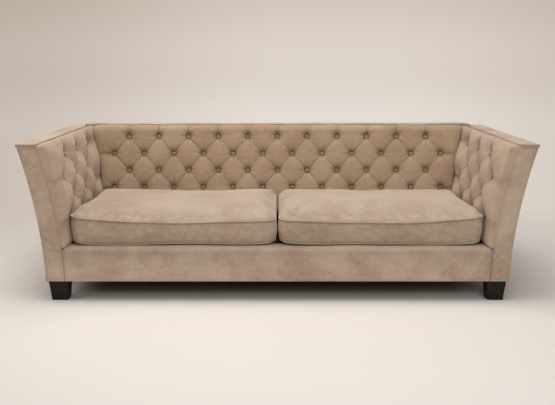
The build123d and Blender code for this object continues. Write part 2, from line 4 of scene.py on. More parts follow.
import bmesh
import bpy
import numpy as np
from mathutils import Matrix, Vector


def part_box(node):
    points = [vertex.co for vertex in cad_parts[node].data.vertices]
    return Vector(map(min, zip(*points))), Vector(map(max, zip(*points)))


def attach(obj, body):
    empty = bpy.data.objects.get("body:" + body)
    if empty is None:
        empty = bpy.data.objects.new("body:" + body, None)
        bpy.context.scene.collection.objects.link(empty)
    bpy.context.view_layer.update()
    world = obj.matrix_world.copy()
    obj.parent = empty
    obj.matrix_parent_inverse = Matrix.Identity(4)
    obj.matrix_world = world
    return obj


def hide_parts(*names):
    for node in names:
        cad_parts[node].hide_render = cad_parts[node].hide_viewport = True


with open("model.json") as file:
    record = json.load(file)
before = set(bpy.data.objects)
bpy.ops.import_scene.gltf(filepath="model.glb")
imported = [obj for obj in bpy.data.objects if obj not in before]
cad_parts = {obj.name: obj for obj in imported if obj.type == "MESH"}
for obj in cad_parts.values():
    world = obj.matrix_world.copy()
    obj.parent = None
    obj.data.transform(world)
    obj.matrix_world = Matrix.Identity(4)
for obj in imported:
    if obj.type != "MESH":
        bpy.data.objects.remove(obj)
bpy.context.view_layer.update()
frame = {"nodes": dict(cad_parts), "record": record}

bl_info = {
    "name": "Buttoned Sofa",
    "version": (1, 0, 0),
    "blender": (4, 5, 0),
    "location": "View3D > Sidebar > Sofa",
    "description": "Upholsters the packed frame of a deep-buttoned sofa",
    "category": "Object",
}

# Sizes of the frame in metres, read from its nodes or as its source names them.
FRONT = float(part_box("front_border")[0][1])
REAR = float(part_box("outer_back_cover")[1][1])
HEM = float(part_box("front_border")[0][2])
DECK = float(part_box("front_border")[1][2])
CAP_LOW = float(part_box("arm_cap_right")[0][2])
ARM_TOP = float(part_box("arm_cap_right")[1][2])
BACK_TOP = float(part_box("back_cap")[1][2])
CAP_FRONT = float(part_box("back_cap")[0][1])
PAD_LOW = float(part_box("inside_back_cover")[0][2])
COVER = 0.003
FACING = 0.012
ARM_WIDTH = 0.090
RAKE = math.radians(12.0)
BACK_VALLEY = 0.0662
ARM_VALLEY = 0.024
RAKED_FRONT = CAP_FRONT + 0.0039 / math.cos(RAKE)
SIDES = (("left", -1.0), ("right", 1.0))


def flare(low, high, bow):
    """Gives x over z on the arc that hangs inside the chord low-high by bow."""
    run, rise = high[0] - low[0], high[1] - low[1]
    chord = math.hypot(run, rise)
    radius = (chord**2 / 4 + bow**2) / (2 * bow)
    middle_x = (low[0] + high[0]) / 2 + (radius - bow) * rise / chord
    middle_z = (low[1] + high[1]) / 2 - (radius - bow) * run / chord
    return lambda z: middle_x - np.sqrt(radius**2 - (z - middle_z) ** 2)


outer_arm = flare((1.104, 0.100), (1.200, 0.757), 0.0225)
inside_arm = flare((0.984, 0.266), (1.050, 0.757), 0.016)


def raked_y(z, depth):
    """Gives y on the raked back at height z, a depth in front of its frame."""
    return RAKED_FRONT - (CAP_LOW - z) * math.tan(RAKE) - depth / math.cos(RAKE)


def linear(red, green, blue):
    """Turns screen values from 0 to 255 into the linear colour that renders as them."""
    value = np.array((red, green, blue)) / 255.0
    return tuple(np.where(value <= 0.04045, value / 12.92, ((value + 0.055) / 1.055) ** 2.4))


class SofaSizes(bpy.types.PropertyGroup):
    """Sizes of the upholstery that can be changed by themselves."""

    back_puff: bpy.props.FloatProperty(
        name="Back puff", description="Height of the back's tufts", default=0.027, unit="LENGTH"
    )
    arm_puff: bpy.props.FloatProperty(
        name="Arm puff", description="Height of the arms' tufts", default=0.029, unit="LENGTH"
    )
    button_radius: bpy.props.FloatProperty(
        name="Button radius", description="Radius of a covered button", default=0.0108, unit="LENGTH"
    )
    panel_puff: bpy.props.FloatProperty(
        name="Panel puff", description="Height of the wadding under flat panels", default=0.003, unit="LENGTH"
    )
    welt_radius: bpy.props.FloatProperty(
        name="Welt radius", description="Radius of the cushions' welt cord", default=0.0033, unit="LENGTH"
    )
    cushion_wrinkle: bpy.props.FloatProperty(
        name="Cushion wrinkle", description="Height of the cushions' slack wrinkles", default=0.0030,
        unit="LENGTH",
    )


class SofaColours(bpy.types.PropertyGroup):
    """Colours of the sofa and of the room."""

    suede: bpy.props.FloatVectorProperty(
        name="Suede", description="Colour of the cover", subtype="COLOR", default=linear(176, 152, 129)
    )
    suede_dark: bpy.props.FloatVectorProperty(
        name="Rubbed suede", description="Colour of brushed patches", subtype="COLOR",
        default=linear(150, 124, 102),
    )
    legs: bpy.props.FloatVectorProperty(
        name="Legs", description="Colour of the stained legs", subtype="COLOR", default=linear(15, 13, 11)
    )
    timber: bpy.props.FloatVectorProperty(
        name="Timber", description="Colour of the frame", subtype="COLOR", default=linear(188, 150, 108)
    )
    floor: bpy.props.FloatVectorProperty(
        name="Floor", description="Colour of the floor", subtype="COLOR", default=linear(226, 218, 211)
    )
    far: bpy.props.FloatVectorProperty(
        name="Far tone", description="Colour that the floor fades to", subtype="COLOR",
        default=linear(221, 211, 202),
    )


# Shared surface tools.

SHARP = math.radians(60)


def ripple(points, wave, seed, count=9):
    """Adds sine waves of seeded directions, lengths near wave and phases: a smooth field near -1 to 1."""
    dice = np.random.default_rng(seed)
    total = np.zeros(points.shape[:-1])
    for _ in range(count):
        way = dice.normal(size=3)
        way /= np.linalg.norm(way)
        turns = math.tau / (wave * dice.uniform(0.7, 1.6))
        total += np.sin(points @ way * turns + dice.uniform(0, math.tau))
    return total / math.sqrt(count)


def rounding(distance, radius):
    """Gives a quarter circle's rise from 0 at an edge to 1 a radius away from it."""
    return np.sqrt(1 - (1 - np.clip(distance / radius, 0, 1)) ** 2)


def eased(share):
    """Goes smoothly from 0 to 1 as 3 s^2 - 2 s^3."""
    held = np.clip(share, 0, 1)
    return held**2 * (3 - 2 * held)


def crowded(count, pull=0.85):
    """Gives samples from 0 to 1 that crowd at both ends: t minus a share of sin(2 pi t)."""
    t = np.linspace(0, 1, count)
    return t - pull * np.sin(math.tau * t) / math.tau


def normals_of(grid):
    """Gives unit normals of a grid: the cross product of its steps along and across."""
    across = np.gradient(grid, axis=1)
    along = np.gradient(grid, axis=0)
    cross = np.cross(across, along)
    return cross / np.maximum(np.linalg.norm(cross, axis=-1, keepdims=True), 1e-12)


def quads(rows, columns, wrapped=False, looped=False):
    """Gives the quads of a grid counted row by row.

    Wrapped, the last column meets the first; looped, the last row does.
    """
    index = np.arange(rows * columns).reshape(rows, columns)
    index = np.pad(index, ((0, int(looped)), (0, int(wrapped))), mode="wrap")
    return np.stack([index[:-1, :-1], index[:-1, 1:], index[1:, 1:], index[1:, :-1]], axis=-1).reshape(-1, 4)


def vectors(items, key):
    """Reads one vector for each item of a mesh into an array."""
    values = np.empty(len(items) * 3)
    items.foreach_get(key, values)
    return values.reshape(-1, 3)


def distance_to(points, others):
    """Gives the distance from each point to the nearest of the others."""
    nearest = np.full(len(points), np.inf)
    for part in np.array_split(others, 40):
        nearest = np.minimum(nearest, np.min(np.linalg.norm(points[:, None] - part[None], axis=-1), axis=1))
    return nearest


def new_piece(name, points, faces, fold_shade=None):
    """Makes a smooth closed mesh with its normals outwards and the painted shade of its creases as an
    attribute.
    """
    mesh = bpy.data.meshes.new(name)
    mesh.from_pydata(points, [], faces)
    work = bmesh.new()
    work.from_mesh(mesh)
    bmesh.ops.recalc_face_normals(work, faces=work.faces)
    work.to_mesh(mesh)
    work.free()
    mesh.polygons.foreach_set("use_smooth", np.ones(len(mesh.polygons), dtype=bool))
    mesh.set_sharp_from_angle(angle=SHARP)
    values = np.zeros(len(points)) if fold_shade is None else np.asarray(fold_shade)
    mesh.attributes.new("fold_shade", "FLOAT", "POINT").data.foreach_set("value", values.astype(np.float32))
    piece = bpy.data.objects.new(name, mesh)
    bpy.context.collection.objects.link(piece)
    return piece


def set_back(base, depth):
    """Gives a grid's two side edges moved back along its normals by a depth."""
    normal = normals_of(base)
    return base[:, 0] - normal[:, 0] * depth, base[:, -1] - normal[:, -1] * depth


def panel(name, base, height, rear, fold_shade):
    """Raises a grid along its normals by a height field and closes it behind.

    The rear is two edges, one behind each side of the grid, joined straight across, row by row.
    """
    rows, columns = base.shape[:2]
    face = base + normals_of(base) * height[..., None]
    low, high = rear
    count = rows * columns
    first = np.arange(rows) * columns
    last = first + columns - 1
    behind_low = count + np.arange(rows)
    behind_high = behind_low + rows
    faces = quads(rows, columns).tolist()
    for left, right in ((behind_low, first), (last, behind_high), (behind_high, behind_low)):
        faces += np.stack([left[:-1], right[:-1], right[1:], left[1:]], axis=-1).tolist()
    faces.append([*range(columns), int(behind_high[0]), int(behind_low[0])])
    faces.append([*range(count - 1, count - columns - 1, -1), int(behind_low[-1]), int(behind_high[-1])])
    points = np.concatenate([face.reshape(-1, 3), low, high])
    return new_piece(name, points, faces, np.concatenate([fold_shade.ravel(), np.zeros(2 * rows)]))


def circles(side, other, count):
    """Gives a unit circle in the plane of each pair of axes."""
    angle = np.linspace(0, math.tau, count, endpoint=False)
    return side[:, None] * np.cos(angle)[None, :, None] + other[:, None] * np.sin(angle)[None, :, None]


def tube(path, radius, sides=10):
    """Carries a circle round a closed path: side and up axes are square to the path's direction."""
    way = np.roll(path, -1, axis=0) - np.roll(path, 1, axis=0)
    way /= np.linalg.norm(way, axis=1, keepdims=True)
    side = np.cross(way, (0.0, 0.0, 1.0))
    side /= np.linalg.norm(side, axis=1, keepdims=True)
    return path[:, None] + circles(side, np.cross(side, way), sides) * radius


def settle(piece):
    """Takes the mesh that a piece's modifiers give as its own."""
    shaped = piece.evaluated_get(bpy.context.evaluated_depsgraph_get())
    mesh = bpy.data.meshes.new_from_object(shaped)
    piece.modifiers.clear()
    piece.data = mesh


def dress(piece, body, slot, material, *nodes):
    """Puts a piece on its body, gives it its finish and hides the frame nodes that it stands for."""
    piece.data.materials.append(material)
    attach(piece, body)
    if nodes:
        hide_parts(*nodes)


# Deep buttoning.


def tuft_field(across, level, pitch, row, limits, buttons, puff, seed, slack, reach, pleat, taut):
    """Gives the height of diamond tufts and the painted shade of their pleats, button pits and fan hollows.

    With p and q counted along both diagonals, |sin pi p sin pi q| is 0 on the seams and 1 in the middle
    of a diamond. Levels and places outside the buttons are held at the outermost ones, so seams run
    straight out as pleats, which fade over the two pleat lengths, up and across. Each button draws the
    cloth down by 1 - exp(-(r / reach)^1.6), and short folds fan out from it as cos(n angle)
    exp(-r / length). Taut cloth is flat with narrow seams; slack cloth is round.
    """
    held_level = np.clip(level, -3 * row, 0)
    held_across = np.clip(across, limits[0], limits[1])
    p = held_across / pitch + held_level / (2 * row)
    q = held_across / pitch - held_level / (2 * row)
    diamond = np.abs(np.sin(math.pi * p) * np.sin(math.pi * q))
    offset = np.stack([across[..., None] - buttons[:, 0], level[..., None] - buttons[:, 1]])
    distance = np.hypot(offset[0], offset[1])
    nearest = np.argmin(distance, axis=-1)[..., None]
    aside, above, away = (np.take_along_axis(part, nearest, -1)[..., 0] for part in (*offset, distance))
    angle = np.arctan2(above, aside)
    dice = np.random.default_rng(seed)
    phase = dice.uniform(0, math.tau, len(buttons))[nearest[..., 0]]
    drawn = 1 - np.exp(-((away / reach) ** 1.6))
    fading = np.exp(-(((level - held_level) / pleat[0]) ** 2) - ((across - held_across) / pleat[1]) ** 2)
    swell = taut * diamond**0.25 + (1 - taut) * diamond
    height = puff * drawn * (1 - slack * fading * (1 - swell))
    fan = np.cos(8 * angle + phase) + 0.7 * np.cos(13 * angle + 2 * phase)
    spread = np.exp(-away / 0.026) * (1 - np.exp(-((away / 0.013) ** 2)))
    height += 0.0024 * fan * spread
    # Painted shade: darker along the pleat lines, in each button's pit and in the hollows of the fans.
    crease_shade = np.exp(-((diamond / 0.03) ** 0.8)) * 0.85 * fading + np.exp(-((away / 0.018) ** 4))
    crease_shade += 0.9 * spread * np.clip(-fan - 0.2, 0, 1)
    return height, np.clip(crease_shade, 0, 1)


def rolled(run, z, radius, end):
    """Follows a profile upwards, rolls it over on a small circle to level and runs on to end.

    Gives the profile's two coordinates and its length so far, closely sampled.
    """
    lean = math.atan2(run[-1] - run[-2], z[-1] - z[-2])
    turn = np.linspace(lean, math.pi / 2, 40)[1:]
    arc_run = run[-1] + radius * (math.cos(lean) - np.cos(turn))
    arc_z = z[-1] + radius * (np.sin(turn) - math.sin(lean))
    flat_run = np.linspace(arc_run[-1], end, 30)[1:]
    all_run = np.concatenate([run, arc_run, flat_run])
    all_z = np.concatenate([z, arc_z, np.full(len(flat_run), arc_z[-1])])
    length = np.concatenate([[0], np.cumsum(np.hypot(np.diff(all_run), np.diff(all_z)))])
    return all_run, all_z, length


def walk(profile, count):
    """Gives evenly spaced points of a rolled profile, from its top end down, and their lengths from it."""
    run, z, length = profile
    at = np.linspace(length[-1], 0, count)
    return np.interp(at, length, run), np.interp(at, length, z), length[-1] - at


# Places of the buttons, the profile of one, as (radius, height) in button radii, and the painted shade along
# that profile.
BACK_PITCH = 0.168
BACK_ROW = 0.0956
BACK_FIRST = -0.055
ARM_PITCH = 0.207
ARM_ROW = 0.098
ARM_FIRST = 0.683
ARM_COLUMN = -0.229
BUTTON_LIFT = 0.003
BUTTON_SIDES = 16
BUTTON_PROFILE = np.array(
    [(0.02, -0.4), (0.80, -0.4), (1.0, -0.05), (0.97, 0.22), (0.72, 0.47), (0.38, 0.60), (0.02, 0.64)]
)
BUTTON_SHADE = (1.0, 1.0, 0.9, 0.55, 0.3, 0.2, 0.2)


def buttons_at(pitch, row, even, odd):
    """Gives four rows of buttons as (place along the row, level under the first row).

    The even and the odd rows have columns of their own, counted in pitches.
    """
    rows = [(0, even), (2, even), (1, odd), (3, odd)]
    return np.array([(column * pitch, -number * row) for number, columns in rows for column in columns])


BACK_BUTTONS = buttons_at(BACK_PITCH, BACK_ROW, np.arange(-5, 6), np.arange(-6, 6) + 0.5)
ARM_BUTTONS = buttons_at(ARM_PITCH, ARM_ROW, np.arange(3), np.arange(3) - 0.5)


def domes(places, ways, radius):
    """Turns a drawn-in, domed profile about each button's axis; all buttons are one mesh."""
    side = np.cross((0.0, 0.0, 1.0), ways)
    side /= np.linalg.norm(side, axis=1, keepdims=True)
    ring = circles(side, np.cross(ways, side), BUTTON_SIDES)
    points = (
        places[:, None, None]
        + BUTTON_PROFILE[None, :, :1, None] * radius * ring[:, None]
        + BUTTON_PROFILE[None, :, 1:, None] * radius * ways[:, None, None]
    )
    rows, columns = len(BUTTON_PROFILE), BUTTON_SIDES
    patch = quads(rows, columns, wrapped=True)
    caps = [list(range(columns)), list(range((rows - 1) * columns, rows * columns))]
    faces = []
    for number in range(len(places)):
        start = number * rows * columns
        faces += (patch + start).tolist() + [[start + i for i in cap] for cap in caps]
    # Painted shade: each button is darkest at its foot, where it sinks into the cloth.
    edge = np.tile(np.repeat(BUTTON_SHADE, columns), len(places))
    return points.reshape(-1, 3), faces, edge


# Finishes.


class Finish:
    """A node material, or the room's world, that is put together socket by socket.

    Its coordinate is the place on the object or, in the room, the direction looked in.
    """

    def __init__(self, name, room=False):
        self.material = (bpy.data.worlds if room else bpy.data.materials).new(name)
        self.material.use_nodes = True
        self.nodes = self.material.node_tree.nodes
        self.shader = self.nodes["Background" if room else "Principled BSDF"]
        self.output = self.nodes["World Output" if room else "Material Output"]
        self.coordinate = self.node("ShaderNodeTexCoord").outputs["Generated" if room else "Object"]

    def node(self, kind, **settings):
        """Adds a node; plain settings go to its properties, linked or numbered ones to its inputs."""
        made = self.nodes.new(kind)
        for key, value in settings.items():
            if hasattr(made, key):
                setattr(made, key, value)
            else:
                self.put(made.inputs[key.replace("_", " ")], value)
        return made

    def put(self, socket, value):
        """Links an output to a socket, or sets the socket's own value."""
        if isinstance(value, bpy.types.NodeSocket):
            self.material.node_tree.links.new(value, socket)
        else:
            socket.default_value = value

    def noise(self, scale, detail=3.0, stretch=(1, 1, 1), rough=0.55):
        """Gives a cloud pattern at a scale per metre, stretched along the axes."""
        place = self.node("ShaderNodeMapping", Vector=self.coordinate)
        place.inputs["Scale"].default_value = stretch
        cloud = self.node(
            "ShaderNodeTexNoise", Vector=place.outputs[0], Scale=scale, Detail=detail, Roughness=rough
        )
        return cloud.outputs["Fac"]

    def ramp(self, value, low, high, start=0.0, end=1.0):
        """Maps a value from low..high smoothly onto start..end."""
        step = self.node("ShaderNodeMapRange", Value=value, interpolation_type="SMOOTHSTEP")
        for key, number in (("From Min", low), ("From Max", high), ("To Min", start), ("To Max", end)):
            step.inputs[key].default_value = number
        return step.outputs[0]

    def mix(self, share, first, second, blend="MIX"):
        """Mixes two colours by a share."""
        mixer = self.node("ShaderNodeMix", data_type="RGBA", blend_type=blend)
        self.put(mixer.inputs["Factor"], share)
        for socket, value in ((mixer.inputs[6], first), (mixer.inputs[7], second)):
            self.put(socket, value if isinstance(value, bpy.types.NodeSocket) else (*value, 1.0))
        return mixer.outputs[2]

    def maths(self, operation, first, second):
        """Joins two values by an operation."""
        made = self.node("ShaderNodeMath", operation=operation)
        self.put(made.inputs[0], first)
        self.put(made.inputs[1], second)
        return made.outputs[0]

    def bump(self, height, distance, strength, under=None):
        """Turns a height pattern into a bent normal."""
        made = self.node("ShaderNodeBump", Height=height, Strength=strength, Distance=distance)
        if under is not None:
            self.put(made.inputs["Normal"], under)
        return made.outputs["Normal"]

    def done(self, colour, normal, **values):
        """Links colour and normal and sets the shader's own numbers."""
        self.put(self.shader.inputs["Base Color"], colour)
        self.put(self.shader.inputs["Normal"], normal)
        for key, value in values.items():
            self.put(self.shader.inputs[key.replace("_", " ")], value)
        return self.material


# Each suede: tints of the two colours, wear and sheen. The tints paint light and shade on one cloth: darker
# on the back, paler and cooler on the cushions, paler outside.
SUEDES = {
    "sofa_suede_cloth": ((1.00, 1.02, 1.05), (1.00, 1.02, 1.05), 0.40, 0.30),
    "sofa_suede_back": ((0.86, 0.85, 0.80), (0.90, 0.88, 0.82), 0.20, 0.30),
    "sofa_suede_seat": ((0.98, 1.04, 1.10), (1.00, 1.05, 1.09), 0.25, 0.55),
    "sofa_suede_worn": ((1.11, 1.18, 1.26), (1.01, 1.05, 1.10), 0.85, 0.30),
}
SHEEN_TINT = (1.0, 0.86, 0.74, 1.0)


def suede_finish(name, light, dark, wear, sheen):
    """Brushed suede: cloudy nap, faint streaks and stains by wear, painted shade in folds, seams and button
    pits, and a fine fibre bump.
    """
    made = Finish(name)
    cloud = made.ramp(made.noise(5.5, 4.0), 0.35, 0.68)
    mottle = made.ramp(made.noise(58.0, 6.0, rough=0.7), 0.32, 0.70)
    streak = made.ramp(made.noise(9.0, 5.0, (1.0, 1.0, 4.5), 0.7), 0.46, 0.74)
    stain = made.ramp(made.noise(2.6, 6.0, (1.0, 1.0, 2.2), 0.72), 0.56, 0.70)
    # The tone of the painted shade in folds, seams and button pits.
    deep = tuple(0.52 * c for c in dark)
    warm = (light[0] * 0.93, light[1] * 0.78, light[2] * 0.70)
    pale = tuple(min(1.0, 1.13 * c) for c in light)
    colour = made.mix(made.maths("MULTIPLY", cloud, 0.50 + 0.45 * wear), light, dark)
    colour = made.mix(made.maths("MULTIPLY", mottle, 0.42), colour, pale)
    colour = made.mix(made.maths("MULTIPLY", streak, 0.30), colour, dark)
    colour = made.mix(made.maths("MULTIPLY", stain, wear), colour, warm)
    spots = made.ramp(made.noise(48.0, 3.0, rough=0.6), 0.60, 0.74)
    where = made.ramp(made.noise(3.4, 3.0), 0.48, 0.62)
    spots = made.maths("MULTIPLY", made.maths("MULTIPLY", spots, where), 0.55 * wear)
    colour = made.mix(spots, colour, tuple(0.80 * c for c in dark))
    # Painted shade: this attribute darkens folds, seams and button pits towards the deep tone.
    fold_shade = made.node("ShaderNodeAttribute", attribute_name="fold_shade").outputs["Fac"]
    colour = made.mix(made.maths("MULTIPLY", fold_shade, 0.85), colour, deep)
    fine = made.bump(made.noise(1500.0, 2.0), 0.0006, 0.35)
    nap = made.bump(made.noise(210.0, 4.0, rough=0.7), 0.0011, 0.45, fine)
    soft = made.bump(made.noise(26.0, 3.0), 0.004, 0.30, nap)
    return made.done(
        colour, soft, Roughness=0.92, Sheen_Weight=sheen, Sheen_Roughness=0.45,
        Sheen_Tint=SHEEN_TINT, Specular_IOR_Level=0.22,
    )


def grain_finish(name, light, dark, roughness, stretch, depth):
    """Planed or stained wood: long fibres with darker bands and pores along them."""
    made = Finish(name)
    bands = made.ramp(made.noise(26.0, 6.0, stretch, 0.6), 0.35, 0.70)
    pores = made.ramp(made.noise(170.0, 3.0, stretch, 0.6), 0.45, 0.75)
    worn = made.ramp(made.noise(14.0, 4.0), 0.55, 0.80)
    colour = made.mix(made.maths("MULTIPLY", bands, 0.7), light, dark)
    colour = made.mix(made.maths("MULTIPLY", pores, 0.35), colour, tuple(0.6 * c for c in dark))
    rough = made.ramp(worn, 0.0, 1.0, roughness, roughness + 0.18)
    return made.done(colour, made.bump(pores, depth, 0.4), Roughness=rough, Specular_IOR_Level=0.25)


def weave_finish(name, light, dark, threads):
    """Plain weave: crossed waves of warp and weft with uneven yarns."""
    made = Finish(name)
    waves = []
    for direction in ("X", "Y", "Z"):
        wave = made.node("ShaderNodeTexWave", Vector=made.coordinate, bands_direction=direction)
        for key, value in (("Scale", threads), ("Distortion", 1.4), ("Detail", 2.0), ("Detail Scale", 2.0)):
            wave.inputs[key].default_value = value
        waves.append(wave.outputs["Fac"])
    cloth = made.maths("MAXIMUM", made.maths("MAXIMUM", waves[0], waves[1]), waves[2])
    dirt = made.ramp(made.noise(12.0, 4.0), 0.35, 0.75)
    colour = made.mix(cloth, dark, light)
    colour = made.mix(made.maths("MULTIPLY", dirt, 0.35), colour, dark)
    return made.done(colour, made.bump(cloth, 0.0008, 0.5), Roughness=0.9)


def steel_finish(name):
    """Zinc-plated steel: brushed streaks and dull patches."""
    made = Finish(name)
    streak = made.noise(60.0, 4.0, (1, 1, 14))
    colour = made.mix(streak, (0.46, 0.46, 0.45), (0.62, 0.61, 0.59))
    rough = made.ramp(made.noise(40.0, 3.0), 0.3, 0.8, 0.28, 0.5)
    return made.done(colour, made.bump(streak, 0.0003, 0.3), Metallic=1.0, Roughness=rough)


def foam_finish(name):
    """Cut foam: pale open cells with a slight yellow cast."""
    made = Finish(name)
    cells = made.noise(420.0, 3.0)
    colour = made.mix(made.noise(15.0), linear(226, 214, 178), linear(206, 190, 148))
    return made.done(colour, made.bump(cells, 0.001, 0.6), Roughness=0.95)


def finishes(context):
    """Makes every finish once and gives them by slot name."""
    made = {m.name: m for m in bpy.data.materials if m.name.startswith("sofa_")}
    if not made:
        colours = context.scene.sofa_colours
        light, rubbed_and_shaded = np.array(colours.suede), np.array(colours.suede_dark)
        for name, (tint, rub, wear, sheen) in SUEDES.items():
            suede_finish(name, tuple(light * tint), tuple(rubbed_and_shaded * rub), wear, sheen)
        dark = tuple(colours.legs)
        grain_finish("sofa_leg_black", dark, tuple(0.5 * c for c in dark), 0.46, (5, 5, 0.6), 0.0004)
        wood = tuple(colours.timber)
        grain_finish("sofa_frame_timber", wood, tuple(0.72 * c for c in wood), 0.6, (0.5, 4, 4), 0.0006)
        steel_finish("sofa_steel")
        weave_finish("sofa_webbing_cloth", linear(120, 92, 62), linear(72, 52, 34), 260.0)
        weave_finish("sofa_hessian_cloth", linear(186, 158, 112), linear(120, 96, 62), 190.0)
        foam_finish("sofa_foam")
        weave_finish("sofa_lining_cloth", linear(40, 37, 34), linear(22, 21, 20), 420.0)
        weave_finish("sofa_zip_cloth", linear(150, 128, 108), linear(104, 86, 70), 520.0)
        made = {m.name: m for m in bpy.data.materials if m.name.startswith("sofa_")}
    return {name.removeprefix("sofa_"): material for name, material in made.items()}


# Pieces.

PAD_TOP = 0.735
PAD_ROLL = 0.012
PAD_ROWS = 135
PAD_FOOT = 0.030
CAP_SEAM = 0.004
BORDER_BEND = 0.020
BORDER_LIP = 0.090
BACK_PUFF = 0.0025


class SOFA_OT_frame(bpy.types.Operator):
    """Gives every carried-over frame part its own finish"""

    bl_idname = "sofa.frame"
    bl_label = "Finish the frame"

    def execute(self, context):
        finish = finishes(context)
        for entry in frame["record"]["subparts"]:
            node = frame["nodes"][entry["node"]]
            if not node.material_slots:
                node.data.materials.append(None)
            for slot in node.material_slots:
                slot.material = finish[entry["material_slot"]]
        return {"FINISHED"}


class SOFA_OT_back(bpy.types.Operator):
    """Builds the deep-buttoned inside back, rolled over the top to the cap"""

    bl_idname = "sofa.back"
    bl_label = "Button the back"

    def execute(self, context):
        sizes, finish = context.scene.sofa_sizes, finishes(context)
        z = np.linspace(PAD_LOW, PAD_TOP, 200)
        y, z, length = walk(rolled(raked_y(z, BACK_VALLEY), z, PAD_ROLL, CAP_FRONT - 0.001), PAD_ROWS)
        u = np.linspace(-1, 1, 620)
        limit = inside_arm(np.clip(z, PAD_LOW, ARM_TOP)) + 0.002
        x = limit[:, None] * u[None, :]
        base = np.stack(np.broadcast_arrays(x, y[:, None], z[:, None]), axis=-1)
        level = (z - CAP_LOW - BACK_VALLEY * math.sin(RAKE)) / math.cos(RAKE)
        level = np.broadcast_to(level[:, None], x.shape)
        height, crease_shade = tuft_field(
            x, level - BACK_FIRST, BACK_PITCH, BACK_ROW, (-5.5 * BACK_PITCH, 5.5 * BACK_PITCH),
            BACK_BUTTONS, sizes.back_puff, 11, 0.30, 0.020, (0.040, 0.090), 0.85,
        )
        top = 0.20 + 0.80 * eased(length[:, None] / 0.070)
        foot = 0.45 + 0.55 * rounding(length[-1] - length[:, None], PAD_FOOT)
        ends = 0.30 + 0.70 * rounding(limit[:, None] - np.abs(x), 0.045)
        height = height * top * foot * ends + 0.0012 * ripple(base, 0.16, 3) * top
        # Painted shade along the seam to the back cap.
        crease_shade = np.maximum(crease_shade, 0.9 * np.exp(-length[:, None] / CAP_SEAM) * np.ones_like(x))
        base, height, crease_shade = base[:, ::-1], height[:, ::-1], crease_shade[:, ::-1]
        piece = panel("inside_back", base, height, set_back(base, 0.030), crease_shade)
        # The back takes the darker, browner suede: painted shade.
        dress(piece, "sofa_frame", "suede_cloth", finish["suede_back"], "inside_back_cover", "back_foam")
        way = np.array((0.0, -math.cos(RAKE), math.sin(RAKE)))
        slope = np.array((0.0, math.sin(RAKE), math.cos(RAKE)))
        origin = np.array((0.0, RAKED_FRONT, CAP_LOW)) + way * BACK_VALLEY
        places = origin + BACK_BUTTONS[:, :1] * (1.0, 0.0, 0.0) + (BACK_BUTTONS[:, 1:] + BACK_FIRST) * slope
        ways = np.broadcast_to(way, places.shape)
        points, faces, edge = domes(places + ways * BUTTON_LIFT, ways, sizes.button_radius)
        knobs = new_piece("covered_back_buttons", points, faces, edge)
        dress(knobs, "sofa_frame", "suede_cloth", finish["suede_back"], "back_buttons")
        return {"FINISHED"}


class SOFA_OT_arms(bpy.types.Operator):
    """Builds the two deep-buttoned inside arms, rolled over the top to the caps"""

    bl_idname = "sofa.arms"
    bl_label = "Button the arms"

    def execute(self, context):
        sizes, finish = context.scene.sofa_sizes, finishes(context)
        for name, side in SIDES:
            z = np.linspace(PAD_LOW, PAD_TOP, 200)
            end = float(outer_arm(ARM_TOP)) - ARM_WIDTH - 0.001
            x, z, length = walk(rolled(inside_arm(z) + ARM_VALLEY, z, PAD_ROLL, end), PAD_ROWS)
            rear = np.minimum(raked_y(z, 0.006), CAP_FRONT - 0.008)
            u = crowded(240, 0.55)
            nose_y = FRONT + sizes.panel_puff
            y = nose_y + (rear[:, None] - nose_y) * u[None, :]
            base = np.stack(np.broadcast_arrays(x[:, None], y, z[:, None]), axis=-1)
            level = np.broadcast_to(z[:, None], y.shape) - ARM_FIRST
            height, crease_shade = tuft_field(
                y - ARM_COLUMN, level, ARM_PITCH, ARM_ROW, (-0.5 * ARM_PITCH, 2 * ARM_PITCH),
                ARM_BUTTONS, sizes.arm_puff, 23 + int(side), 0.58, 0.043, (0.060, 0.160), 0.50,
            )
            top = 0.28 + 0.72 * eased(length[:, None] / 0.080)
            foot = 0.45 + 0.55 * rounding(length[-1] - length[:, None], PAD_FOOT)
            nose = rounding(y - nose_y, 0.085)
            edge = np.maximum(outer_arm(z) - ARM_WIDTH + 0.001, x)
            front_edge = np.stack([side * edge, y[:, 0], z], axis=1)
            rear_edge = np.stack([side * (x + 0.026), y[:, -1], z], axis=1)
            rear_edges = (front_edge, rear_edge)
            pressed = 1 - (0.30 - 0.10 * side) * np.clip((0.42 - z) / 0.05, 0, 1)[:, None]
            height = (height + 0.0016 * ripple(base * (side, 1, 1), 0.15, 7)) * top * foot * nose * pressed
            # Painted shade along the seam to the arm cap.
            crease_shade = np.maximum(crease_shade, 0.9 * np.exp(-length[:, None] / CAP_SEAM) * np.ones_like(y))
            base = base * (side, 1, 1)
            if side < 0:
                base, height, crease_shade = base[:, ::-1], height[:, ::-1], crease_shade[:, ::-1]
                rear_edges = rear_edges[::-1]
            piece = panel(f"inside_arm_{name}", base, height, rear_edges, crease_shade)
            dress(
                piece, "sofa_frame", "suede_cloth", finish["suede_cloth"],
                f"inside_arm_cover_{name}", f"arm_foam_{name}",
            )
            heights = ARM_BUTTONS[:, 1] + ARM_FIRST
            lean = np.arctan((inside_arm(heights + 0.001) - inside_arm(heights - 0.001)) / 0.002)
            ways = np.stack([-side * np.cos(lean), np.zeros(len(lean)), np.sin(lean)], axis=1)
            across = side * (inside_arm(heights) + ARM_VALLEY)
            places = np.stack([across, ARM_BUTTONS[:, 0] + ARM_COLUMN, heights], axis=1)
            points, faces, edge = domes(places + ways * BUTTON_LIFT, ways, sizes.button_radius)
            knobs = new_piece(f"covered_arm_buttons_{name}", points, faces, edge)
            dress(knobs, "sofa_frame", "suede_cloth", finish["suede_cloth"], f"arm_buttons_{name}")
        return {"FINISHED"}


